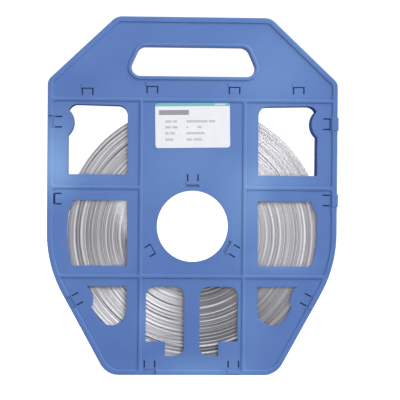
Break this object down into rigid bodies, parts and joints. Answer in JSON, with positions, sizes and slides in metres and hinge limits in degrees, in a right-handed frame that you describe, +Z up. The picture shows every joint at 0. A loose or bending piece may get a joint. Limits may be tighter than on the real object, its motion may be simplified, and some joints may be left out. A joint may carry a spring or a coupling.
{
  "type": "coil of steel banding in a carrying case",
  "caption": "Coil of flat stainless steel banding held in a flat blue moulded case of two halves that snap together, with a carrying handle, a through hub and cut-out windows.",
  "frame": {"origin": "On the floor plane, under the middle of the case", "axes": "X to the right seen from the front, Z up through the handle, the labelled front faces -Y"},
  "size_m": [0.2626, 0.0256, 0.322],
  "materials": {
    "case_front": "semi-matt injection-moulded polypropylene, mid blue",
    "case_back": "semi-matt injection-moulded polypropylene, mid blue",
    "banding": "bright rolled stainless steel strip, its slit edges showing as fine turns",
    "label": "satin white adhesive paper label with a plain teal band along its top"
  },
  "bodies": {
    "root": {"front_half": "case_front", "back_half": "case_back", "band_coil": "banding", "label": "label"}
  },
  "joints": []
}
